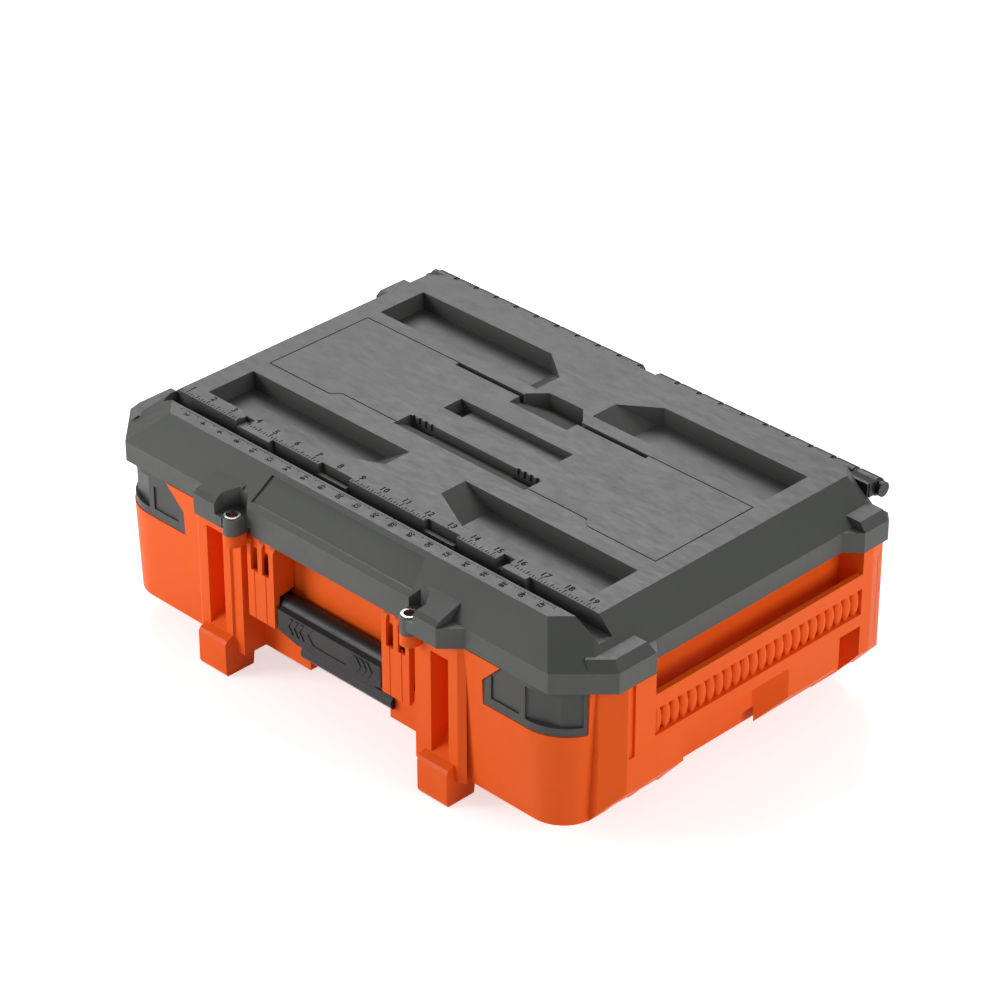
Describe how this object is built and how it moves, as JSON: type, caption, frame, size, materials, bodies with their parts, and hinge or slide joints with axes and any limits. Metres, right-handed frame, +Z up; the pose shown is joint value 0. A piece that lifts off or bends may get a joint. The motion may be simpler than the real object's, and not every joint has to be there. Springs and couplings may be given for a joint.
{
  "type": "toolbox",
  "caption": "Stackable toolbox with a hinged lid, front latches, a folding front handle, a moulded rule and padlock eyes.",
  "frame": {"origin": "on the ground plane under the middle of the closed box", "axes": "+Z up, -Y towards the front with the latches and the handle, +X to the right of someone facing the front"},
  "size_m": [0.562, 0.393, 0.193],
  "materials": {
    "orange_plastic": "moulded, fine grain",
    "grey_plastic": "moulded, fine grain",
    "black_plastic": "satin",
    "black_rubber": "satin, soft",
    "steel": "plain",
    "bright_steel": "bright"
  },
  "bodies": {
    "base": {"base_shell": "orange_plastic", "corner_cleat_left": "grey_plastic", "corner_cleat_right": "grey_plastic", "handle_bracket_left": "black_plastic", "handle_bracket_right": "black_plastic", "handle_sill": "black_plastic", "latch_keeper_left": "black_plastic", "latch_keeper_right": "black_plastic", "hinge_leaf_base_left": "black_plastic", "hinge_leaf_base_right": "black_plastic", "hinge_pin_left": "steel", "hinge_pin_right": "steel", "hinge_screws": "steel", "bracket_screws": "steel", "keeper_screws": "steel", "cleat_screws": "steel"},
    "lid": {"lid_shell": "grey_plastic", "lid_seal": "black_rubber", "lid_eyelets": "bright_steel", "hinge_leaf_lid_left": "black_plastic", "hinge_leaf_lid_right": "black_plastic", "latch_bracket_left": "orange_plastic", "latch_bracket_right": "orange_plastic", "latch_pin_left": "steel", "latch_pin_right": "steel"},
    "latch_left": {"latch_left": "orange_plastic"},
    "latch_right": {"latch_right": "orange_plastic"},
    "handle": {"handle_core": "black_plastic", "handle_grip": "black_rubber", "handle_panel": "black_plastic", "handle_pin_left": "steel", "handle_pin_right": "steel"}
  },
  "joints": [
    {"name": "lid_hinge", "type": "hinge", "parent": "base", "child": "lid", "pos_m": [0, 0.1885, 0.176], "axis": [-1, 0, 0], "range_deg": [0, 100]},
    {"name": "latch_left_hinge", "type": "hinge", "parent": "lid", "child": "latch_left", "pos_m": [-0.0783, -0.174, 0.1335], "axis": [-1, 0, 0], "range_deg": [0, 90]},
    {"name": "latch_right_hinge", "type": "hinge", "parent": "lid", "child": "latch_right", "pos_m": [0.0783, -0.174, 0.1335], "axis": [-1, 0, 0], "range_deg": [0, 90]},
    {"name": "handle_hinge", "type": "hinge", "parent": "base", "child": "handle", "pos_m": [0, -0.168, 0.085], "axis": [-1, 0, 0], "range_deg": [0, 90]}
  ]
}
